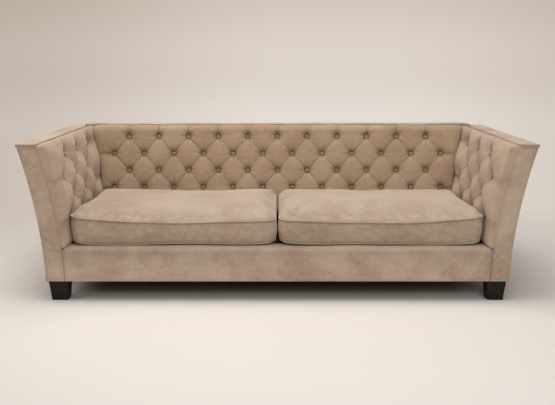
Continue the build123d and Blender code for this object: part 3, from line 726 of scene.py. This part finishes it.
def flat_panel(name, base, puff, edge, depth, seed, rubbed_and_shaded=0.0):
    """Raises a wadded panel: rounded at its edges, a little uneven, creased where it is sewn and painted
    darker there as shade.

    Extra darkening that is passed in is painted shade as well.
    """
    near = np.inf
    for axis in (0, 1):
        steps = np.linalg.norm(np.diff(base, axis=axis), axis=-1)
        along = np.insert(np.cumsum(steps, axis=axis), 0, 0.0, axis=axis)
        near = np.minimum(near, np.minimum(along, along.take([-1], axis) - along))
    soft = rounding(near, edge)
    height = puff * soft + 0.35 * puff * ripple(base, 0.22, seed) * soft
    height -= 0.45 * puff * np.exp(-(((near - 1.6 * edge) / (0.45 * edge)) ** 2))
    # Painted shade along the sewn edges and the stitch line.
    crease_shade = 0.8 * np.exp(-near / 0.0022) + 0.14 * np.exp(-(((near - 1.6 * edge) / (0.4 * edge)) ** 2))
    return panel(name, base, height, set_back(base, depth), np.clip(crease_shade + rubbed_and_shaded, 0, 1))


def sheet_of(u, v, place):
    """Spreads a function of two parameters over the grid of both sample lists."""
    across, along = np.meshgrid(u, v)
    return np.stack(np.broadcast_arrays(*place(across, along)), axis=-1)


class SOFA_OT_outside(bpy.types.Operator):
    """Covers the outside: arm facings, arm caps, back cap, border, outer arms and outer back"""

    bl_idname = "sofa.outside"
    bl_label = "Cover the outside"

    def execute(self, context):
        sizes, finish = context.scene.sofa_sizes, finishes(context)
        # The outside takes the paler suede: painted light, with heavier stains by wear.
        cloth, puff = finish["suede_worn"], sizes.panel_puff
        long, short = crowded(150), crowded(44)
        made = []
        for name, side in SIDES:
            flip = slice(None) if side > 0 else slice(None, None, -1)

            def facing(u, v):
                z = HEM + v * (CAP_LOW - HEM)
                return side * (outer_arm(z) - ARM_WIDTH * (1 - u)), FRONT + puff + 0 * u, z

            def arm_cap(u, v):
                x = outer_arm(ARM_TOP) - ARM_WIDTH * (1 - u)
                return side * x, FRONT + v * (REAR - FRONT), ARM_TOP - puff + 0 * u

            def outside(u, v):
                z = HEM + v * (CAP_LOW - HEM)
                return side * (outer_arm(z) - puff), FRONT + FACING + u * (REAR - COVER - FRONT - FACING), z

            for form, base, edge, depth, seed, node in (
                ("facing", sheet_of(short, long, facing), 0.007, 0.008, 31, "arm_facing"),
                ("cap_of_arm", sheet_of(short, long, arm_cap), 0.008, 0.011, 37, "arm_cap"),
                ("outside_arm", sheet_of(long, long, outside), 0.006, 0.001, 41, "outer_arm_cover"),
            ):
                piece = flat_panel(f"{form}_{name}", base[:, flip], puff, edge, depth, seed)
                made.append((piece, f"{node}_{name}"))

        def back_cap(u, v):
            reach = outer_arm(ARM_TOP) - ARM_WIDTH - 0.0005
            return reach * (2 * u - 1), CAP_FRONT + v * (REAR - CAP_FRONT), BACK_TOP - puff + 0 * u

        base = sheet_of(crowded(260), short, back_cap)
        made.append((flat_panel("cap_of_back", base, puff, 0.009, 0.020, 43), "back_cap"))

        def outside_back(u, v):
            z = HEM + v * (CAP_LOW - HEM)
            return outer_arm(z) * (1 - 2 * u), REAR - BACK_PUFF + 0 * u, z

        base = sheet_of(crowded(240), crowded(110), outside_back)
        made.append((flat_panel("outside_back", base, BACK_PUFF, 0.006, 0.0005, 47), "outer_back_cover"))
        turn = np.linspace(0, math.pi / 2, 30)[1:]
        front, top = FRONT + puff, DECK - puff
        round_y = front + BORDER_BEND * (1 - np.cos(turn))
        round_z = top - BORDER_BEND + BORDER_BEND * np.sin(turn)
        lip = np.linspace(front + BORDER_BEND, FRONT + BORDER_LIP, 40)[1:]
        y = np.concatenate([np.full(60, front), round_y, lip])
        z = np.concatenate([np.linspace(HEM, top - BORDER_BEND, 60), round_z, np.full(len(lip), top)])
        reach = outer_arm(z) - ARM_WIDTH - 0.0004
        across = reach[:, None] * (2 * crowded(300) - 1)[None, :]
        base = np.stack(np.broadcast_arrays(across, y[:, None], z[:, None]), axis=-1)
        # Painted shade: the border darkens towards its top, in the shade under the cushions.
        rubbed_and_shaded = 0.46 * np.exp((z - DECK + puff) / 0.032)[:, None]
        made.append((flat_panel("border", base, puff, 0.006, 0.008, 53, rubbed_and_shaded), "front_border"))
        for piece, node in made:
            dress(piece, "sofa_frame", "suede_cloth", cloth, node)
        return {"FINISHED"}


# Loose cushions.

CUSHION_X = 0.4905
CUSHION_Y = sum(float(corner[1]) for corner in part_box("cushion_welts_right")) / 2
HALF_WIDTH = 0.4836
HALF_DEPTH = 0.2976
CORNER = 0.052
SEAM_LOW = 0.2735
SEAM_TOP = 0.3775
CROWN = 0.053
CROWN_RUN = 0.19
# Each seam: level, lift at the corners, its power and its tilt.
LOW_SEAM = (SEAM_LOW, 0.013, 4.0, 0.0)
TOP_SEAM = (SEAM_TOP, 0.021, 1.0, 0.35)
SIDE_RUN = 0.4
FRONT_SWELL = 0.010
VOXEL = 0.009
PRESSURE = 4.0
PRESSURE_FRAMES = 20
PRESSURE_REACH = 0.024
HELD = 0.008
# How far the finished cushions may reach: from the sofa's middle, outwards, and forwards.
MIDDLE_GAP = 0.0018
OUTER_REACH = 0.992
OUTER_SPREAD = 0.009
FRONT_REACH = 0.3034


def outline(count, side, grow=0.0):
    """Walks a rounded rectangle whose sides draw in between the corners, evenly by length.

    The outer end, at side, spreads towards the front, where the arm's pad rolls away from it, and the
    front swells forward.
    Gives x, y from the middle and how near each point is to a corner, from 0 to 1.
    """
    across, along = HALF_WIDTH + grow, HALF_DEPTH + grow
    turn = np.linspace(0, math.pi / 2, 24)
    arcs = []
    for sx, sy, start in ((1, 1, 0), (-1, 1, math.pi / 2), (-1, -1, math.pi), (1, -1, 1.5 * math.pi)):
        x = sx * (across - CORNER) + CORNER * np.cos(turn + start)
        y = sy * (along - CORNER) + CORNER * np.sin(turn + start)
        arcs.append(np.stack([x, y], 1))
    path = np.concatenate(arcs + [arcs[0][:1]])
    length = np.concatenate([[0], np.cumsum(np.linalg.norm(np.diff(path, axis=0), axis=1))])
    at = np.linspace(0, length[-1], count, endpoint=False)
    x, y = np.interp(at, length, path[:, 0]), np.interp(at, length, path[:, 1])
    share_x, share_y = np.clip(np.abs(x) / across, 0, 1), np.clip(np.abs(y) / along, 0, 1)
    corner = share_x**2.5 * (0.85 + 0.15 * share_y**2.5)
    pull = 0.004
    x = x - np.sign(x) * pull * (1 - (y / along) ** 2) * (np.abs(x) > across - CORNER)
    y = y - np.sign(y) * pull * (1 - (x / across) ** 2) * (np.abs(y) > along - CORNER)
    spread = (0.012 - 0.004 * side) * np.clip(0.25 - y / along, 0, 1) ** 1.5
    spread = spread * np.clip(side * x / across, 0, 1) ** 4
    forward = FRONT_SWELL * np.clip(-y / along, 0, 1) ** 3
    return x + side * spread, y - forward, corner


def seam_height(x, y, corner, side, seam, seed):
    """Gives a seam's height: level, lifted at the corners by lift * nearness^power and slightly wavy.

    The tilt lifts the outer corners more than those in the middle of the sofa, and the inner edges
    towards the rear, where the two cushions press against each other.
    """
    level, lift, power, tilt = seam
    wave = ripple(np.stack([x, y, 0 * x], -1), 0.30, seed, 5)
    pressed = np.clip(-side * x / HALF_WIDTH, 0, 1) ** 6 * np.clip(y / HALF_DEPTH, 0, 1) ** 2
    rise = corner**power * (1 + tilt * side * x / HALF_WIDTH) + 2.0 * tilt * pressed
    return level + lift * rise + 0.0018 * wave


def cushion_rings(side, grow, seed):
    """Stacks rings from the middle of the bottom over the boxing to the middle of the crown.

    A ring of the top is the outline trimmed by t, and by less at its ends, and lifted by
    1 - (1 - t / T)^6, so the top swells quickly from its seam and is level from T inwards.
    """
    x, y, corner = outline(420, side, grow)
    seam_low = seam_height(x, y, corner, side, LOW_SEAM, seed)
    seam_top = seam_height(x, y, corner, side, TOP_SEAM, seed + 1)
    rings = []
    for share in (0.02, 0.35, 0.7, 0.9, 0.965):
        rings.append(np.stack([x * share, y * share, np.full_like(x, PAD_LOW + 0.0004)], 1))
    for step in np.linspace(0, 1, 9):
        bulge = 1 + 0.020 * math.sin(math.pi * (0.12 + 0.76 * step))
        rings.append(np.stack([x * bulge, y * bulge, seam_low + (seam_top - seam_low) * step], 1))
    for trim in np.concatenate([np.linspace(0.004, CROWN_RUN, 26), np.linspace(CROWN_RUN, 0.285, 8)[1:]]):
        fall = 1 - min(trim / CROWN_RUN, 1)
        top = seam_top * fall**2 + SEAM_TOP * (1 - fall**2) + CROWN * (1 - fall**6)
        rings.append(np.stack([x * (1 - SIDE_RUN * trim / HALF_WIDTH), y * (1 - trim / HALF_DEPTH), top], 1))
    return np.stack(rings)


def inflated(piece, seams, reach):
    """Swells a remeshed cushion with cloth pressure while its seams are held, then caps the motion."""
    start = vectors(piece.data.vertices, "co")
    flat = start[:, 2] < PAD_LOW + 0.002
    held = piece.vertex_groups.new(name="held")
    held.add(np.nonzero((distance_to(start, seams) < HELD) | flat)[0].tolist(), 1.0, "REPLACE")
    cloth = piece.modifiers.new("swell", "CLOTH")
    cloth.settings.quality = 4
    cloth.settings.use_pressure = True
    cloth.settings.uniform_pressure_force = PRESSURE
    cloth.settings.effector_weights.gravity = 0.0
    cloth.settings.vertex_group_mass = "held"
    cloth.settings.pin_stiffness = 1.0
    scene = bpy.context.scene
    for number in range(1, PRESSURE_FRAMES + 1):
        scene.frame_set(number)
    shaped = piece.evaluated_get(bpy.context.evaluated_depsgraph_get())
    move = vectors(shaped.data.vertices, "co") - start
    piece.modifiers.clear()
    scene.frame_set(1)
    size = np.linalg.norm(move, axis=1, keepdims=True)
    return start + move * np.minimum(1, reach / np.maximum(size, 1e-9))


class SOFA_OT_cushions(bpy.types.Operator):
    """Builds the two loose cushions with welted seams, swollen by cloth pressure"""

    bl_idname = "sofa.cushions"
    bl_label = "Fill the cushions"

    def execute(self, context):
        sizes, finish = context.scene.sofa_sizes, finishes(context)
        # The cushions take the paler, cooler suede: a painted sheen.
        cloth = finish["suede_seat"]
        for name, side, seed in (("left", -1.0, 61), ("right", 1.0, 83)):
            middle = np.array((side * CUSHION_X, CUSHION_Y, 0.0))
            rings = cushion_rings(side, -0.004, seed)
            rows, columns = rings.shape[:2]
            faces = quads(rows, columns, wrapped=True).tolist()
            faces += [list(range(columns)), list(range((rows - 1) * columns, rows * columns))]
            piece = new_piece(f"cushion_{name}_body", rings.reshape(-1, 3) + middle, faces)
            x, y, corner = outline(500, side)
            seam_low = np.stack([x, y, seam_height(x, y, corner, side, LOW_SEAM, seed)], 1) + middle
            seam_top = np.stack([x, y, seam_height(x, y, corner, side, TOP_SEAM, seed + 1)], 1) + middle
            remesh = piece.modifiers.new("even", "REMESH")
            remesh.mode = "VOXEL"
            remesh.voxel_size = VOXEL
            settle(piece)
            seams = np.concatenate([seam_low, seam_top])
            points = inflated(piece, seams, PRESSURE_REACH)
            piece.data.vertices.foreach_set("co", points.ravel())
            finer = piece.modifiers.new("finer", "SUBSURF")
            finer.levels = finer.render_levels = 1
            settle(piece)
            self.finish_body(piece, middle, seams, seed, sizes.cushion_wrinkle)
            dress(
                piece, f"cushion_{name}", "suede_cloth", cloth,
                f"cushion_cover_{name}", f"cushion_core_{name}",
            )
            tubes = []
            for seam, number, grow in ((LOW_SEAM, seed, -0.003), (TOP_SEAM, seed + 1, -0.0005)):
                welt_x, welt_y, corner = outline(500, side, grow)
                path = np.stack([welt_x, welt_y, seam_height(x, y, corner, side, seam, number)], 1) + middle
                tubes.append(tube(path, sizes.welt_radius))
            count, sides = tubes[0].shape[:2]
            patch = quads(count, sides, wrapped=True, looped=True)
            points = np.concatenate([part.reshape(-1, 3) for part in tubes])
            faces = np.concatenate([patch, patch + count * sides]).tolist()
            welts = new_piece(f"welts_{name}", points, faces)
            dress(welts, f"cushion_{name}", "suede_cloth", cloth, f"cushion_welts_{name}")
        return {"FINISHED"}

    def finish_body(self, piece, middle, seams, seed, wrinkle):
        """Adds slack wrinkles that fade from the seams inwards, and paints shade along the seams and in the
        wrinkles' hollows.
        """
        mesh = piece.data
        points = vectors(mesh.vertices, "co")
        normal = vectors(mesh.vertex_normals, "vector")
        gap = distance_to(points, seams)
        local = points - middle
        slack = np.exp(-((gap - 0.035) ** 2) / 0.0016) * (local[:, 2] > PAD_LOW + 0.004)
        folds = np.abs(ripple(local * (1.0, 1.0, 2.0), 0.085, seed + 5)) ** 0.8 - 0.5
        broad = ripple(local, 0.26, seed + 9)
        top = np.clip((local[:, 2] - SEAM_TOP) / 0.02, 0, 1)
        lift = wrinkle * (slack * folds * (0.25 + 0.75 * top) + 0.9 * broad * (0.2 + 0.8 * top))
        lift *= 1 - np.exp(-((gap / 0.012) ** 2))
        points = points + normal * lift[:, None]
        points[:, 2] = np.maximum(points[:, 2], PAD_LOW + 0.0003)
        outer = OUTER_REACH + OUTER_SPREAD * np.clip((-local[:, 1] - 0.12) / 0.12, 0, 1)
        points[:, 0] = np.clip(np.abs(points[:, 0]), MIDDLE_GAP, outer) * np.sign(middle[0])
        fore, aft = middle[1] - FRONT_REACH - FRONT_SWELL, middle[1] + HALF_DEPTH
        points[:, 1] = np.clip(points[:, 1], fore, aft)
        mesh.vertices.foreach_set("co", points.ravel())
        mesh.polygons.foreach_set("use_smooth", np.ones(len(mesh.polygons), dtype=bool))
        # Painted shade: dark along the welted seams and in the hollows of the slack wrinkles.
        crease_shade = np.clip(0.95 * np.exp(-((gap / 0.0075) ** 2)) + 0.25 * slack * (0.5 - folds), 0, 1)
        if "fold_shade" in mesh.attributes:
            mesh.attributes.remove(mesh.attributes["fold_shade"])
        mesh.attributes.new("fold_shade", "FLOAT", "POINT").data.foreach_set("value", crease_shade.astype(np.float32))
        mesh.update()


# Each lamp: place, aim, size in metres and power in watts. The camera was fitted to the photograph.
LAMPS = {
    "overhead": ((-0.2, -0.3, 3.3), (0, 0.0, 0.3), (3.6, 2.2), 98.0),
    "front": ((1.2, -4.6, 2.6), (0, 0, 0.4), (2.6, 1.8), 68.0),
    "side": ((-3.6, -1.6, 2.4), (0, 0, 0.4), (1.8, 1.8), 36.0),
}
CAMERA_LENS = 44.76
CAMERA_SENSOR = 36.0
CAMERA_AT = (0.0, -3.608, 1.156)
CAMERA_TILT = 12.05
FILL_COLOUR = (1.0, 0.975, 0.945, 1.0)
FILL_STRENGTH = 0.24
# Tints of the far tone, painted light on the backdrop: near the sofa, high up and to the sides; and the
# floor's painted shadow under the sofa.
NEAR_TINT = (1.092, 1.118, 1.135)
HIGH_TINT = (0.903, 0.879, 0.844)
SIDE_TINT = (0.745, 0.71, 0.675)
SHADOW_TINT = (0.46, 0.39, 0.33)
# Where the floor's painted shadow under the sofa fades, across and along, and where its far tone sets in.
UNDER_X = (1.06, 0.85)
UNDER_Y = (0.42, 0.27)
FADE = (1.2, 2.7)
FLOOR_RADIUS = 60.0
FLOOR_SPOKES = 64


class SOFA_OT_stage(bpy.types.Operator):
    """Sets the pale floor, the tone behind it, the soft lights and the camera"""

    bl_idname = "sofa.stage"
    bl_label = "Set the stage"

    def execute(self, context):
        tones = context.scene.sofa_colours
        self.lay_floor(context, tuple(tones.floor), tuple(tones.far))
        for name, (place, aim, size, power) in LAMPS.items():
            lamp = bpy.data.lights.new(name, "AREA")
            lamp.shape = "RECTANGLE"
            lamp.size, lamp.size_y = size
            lamp.energy = power
            holder = bpy.data.objects.new(name, lamp)
            way = np.array(aim) - np.array(place)
            flat = math.hypot(way[0], way[1])
            holder.location = place
            holder.rotation_euler = (math.atan2(flat, -way[2]), 0.0, math.atan2(-way[0], way[1]))
            context.collection.objects.link(holder)
        self.light_room(context, tuple(tones.far))
        view = bpy.data.cameras.new("camera")
        view.lens = CAMERA_LENS
        view.sensor_width = CAMERA_SENSOR
        view.sensor_fit = "HORIZONTAL"
        camera = bpy.data.objects.new("camera", view)
        camera.location = CAMERA_AT
        camera.rotation_euler = (math.radians(90.0 - CAMERA_TILT), 0.0, 0.0)
        context.collection.objects.link(camera)
        context.scene.camera = camera
        context.scene.view_settings.view_transform = "Standard"
        return {"FINISHED"}

    def seen(self, made):
        """Gives 1 for rays that show the background: from the camera, mirrored or sent through."""
        path = made.node("ShaderNodeLightPath").outputs
        mirrored = made.maths("MAXIMUM", path["Is Camera Ray"], path["Is Glossy Ray"])
        return made.maths("MAXIMUM", mirrored, path["Is Transmission Ray"])

    def show(self, made, share, shown):
        """Shows another shader in place of the lit one, by a share."""
        both = made.node("ShaderNodeMixShader")
        for socket, value in zip(both.inputs, (share, made.shader.outputs[0], shown.outputs[0])):
            made.put(socket, value)
        made.put(made.output.inputs["Surface"], both.outputs[0])

    def backdrop(self, made, soften, level, first, last):
        """Gives the tone behind the sofa, first to last by level.

        It is dimmer to the sides, by x / (length + soften). This and the change by level are painted light on
        the backdrop.
        """
        split = made.node("ShaderNodeSeparateXYZ", Vector=made.coordinate)
        length = made.node("ShaderNodeVectorMath", operation="LENGTH")
        made.put(length.inputs[0], made.coordinate)
        aside = made.maths("DIVIDE", split.outputs["X"], made.maths("ADD", length.outputs["Value"], soften))
        aside = made.maths("ABSOLUTE", made.maths("SUBTRACT", aside, 0.08), 0.0)
        tone = made.mix(level, tuple(first), tuple(last))
        return made.mix(made.ramp(aside, 0.05, 0.52), tone, SIDE_TINT, "MULTIPLY")

    def lay_floor(self, context, near, far):
        """Lays a round floor of rings and spokes.

        It is painted darker under the sofa as a shadow, takes real shadows near it and fades to the far tone,
        a glow of painted light.
        """
        made = Finish("stage_floor")
        tint = made.mix(made.noise(1.2, 2.0), near, tuple(0.97 * c for c in near))
        split = made.node("ShaderNodeSeparateXYZ", Vector=made.coordinate)
        across = made.ramp(made.maths("ABSOLUTE", split.outputs["X"], 0.0), *UNDER_X)
        along = made.ramp(made.maths("ABSOLUTE", split.outputs["Y"], 0.0), *UNDER_Y)
        # Painted shadow: the floor is darker under the sofa.
        painted_shadow = np.array(near) * SHADOW_TINT
        tint = made.mix(made.maths("MULTIPLY", across, along), tint, tuple(painted_shadow))
        paper = made.done(tint, made.bump(made.noise(160.0), 0.0004, 0.1), Roughness=0.85)
        length = made.node("ShaderNodeVectorMath", operation="LENGTH")
        made.put(length.inputs[0], made.coordinate)
        fade = made.maths("MULTIPLY", made.ramp(length.outputs["Value"], *FADE), self.seen(made))
        glow = made.node("ShaderNodeEmission")
        # Painted light: the far tone glows brighter on the nearer floor.
        lifted = np.array(far) * NEAR_TINT
        nearness = made.maths("DIVIDE", 1.0, length.outputs["Value"])
        level = made.ramp(nearness, 1 / 9.0, 1 / FLOOR_RADIUS)
        made.put(glow.inputs["Color"], self.backdrop(made, 3.0, level, lifted, far))
        self.show(made, fade, glow)
        angle = np.linspace(0, math.tau, FLOOR_SPOKES, endpoint=False)
        radius = np.linspace(0, 1, 40)[::-1] ** 3 * FLOOR_RADIUS + 0.02
        ring = np.stack([np.cos(angle), np.sin(angle), 0 * angle], 1)
        points = (radius[:, None, None] * ring[None]).reshape(-1, 3)
        faces = quads(len(radius), FLOOR_SPOKES, wrapped=True).tolist()
        faces.append(list(range(len(points) - FLOOR_SPOKES, len(points))))
        mesh = bpy.data.meshes.new("floor")
        mesh.from_pydata(points, [], faces)
        mesh.materials.append(paper)
        ground = bpy.data.objects.new("floor", mesh)
        context.collection.objects.link(ground)

    def light_room(self, context, far):
        """Fills the room with soft light and shows the far tone behind everything."""
        made = Finish("room", room=True)
        made.shader.inputs["Color"].default_value = FILL_COLOUR
        made.shader.inputs["Strength"].default_value = FILL_STRENGTH
        climb = made.node("ShaderNodeSeparateXYZ", Vector=made.coordinate).outputs["Z"]
        # Painted light: the tone shown behind grows dimmer high up.
        dimmed = np.array(far) * HIGH_TINT
        shown = made.node("ShaderNodeBackground")
        made.put(shown.inputs["Color"], self.backdrop(made, 0.0, made.ramp(climb, 0.0, 0.085), far, dimmed))
        self.show(made, self.seen(made), shown)
        context.scene.world = made.material


class SOFA_PT_panel(bpy.types.Panel):
    """Lists the steps that upholster the sofa"""

    bl_label = "Sofa"
    bl_idname = "SOFA_PT_panel"
    bl_space_type = "VIEW_3D"
    bl_region_type = "UI"
    bl_category = "Sofa"

    def draw(self, context):
        for step in STEPS:
            self.layout.operator(step.bl_idname)
        for group in (context.scene.sofa_sizes, context.scene.sofa_colours):
            for key in group.bl_rna.properties.keys():
                if key not in {"rna_type", "name"}:
                    self.layout.prop(group, key)


STEPS = (SOFA_OT_frame, SOFA_OT_back, SOFA_OT_arms, SOFA_OT_outside, SOFA_OT_cushions, SOFA_OT_stage)
CLASSES = (SofaSizes, SofaColours, *STEPS, SOFA_PT_panel)


def register():
    """Registers the classes and hangs the two groups of settings on the scene."""
    for item in CLASSES:
        bpy.utils.register_class(item)
    bpy.types.Scene.sofa_sizes = bpy.props.PointerProperty(type=SofaSizes)
    bpy.types.Scene.sofa_colours = bpy.props.PointerProperty(type=SofaColours)


def unregister():
    """Takes the settings and the classes away again."""
    del bpy.types.Scene.sofa_colours
    del bpy.types.Scene.sofa_sizes
    for item in reversed(CLASSES):
        bpy.utils.unregister_class(item)


def main():
    """Builds the sofa step by step."""
    register()
    bpy.ops.sofa.frame()
    bpy.ops.sofa.back()
    bpy.ops.sofa.arms()
    bpy.ops.sofa.outside()
    bpy.ops.sofa.cushions()
    bpy.ops.sofa.stage()


if __name__ == "__main__":
    main()
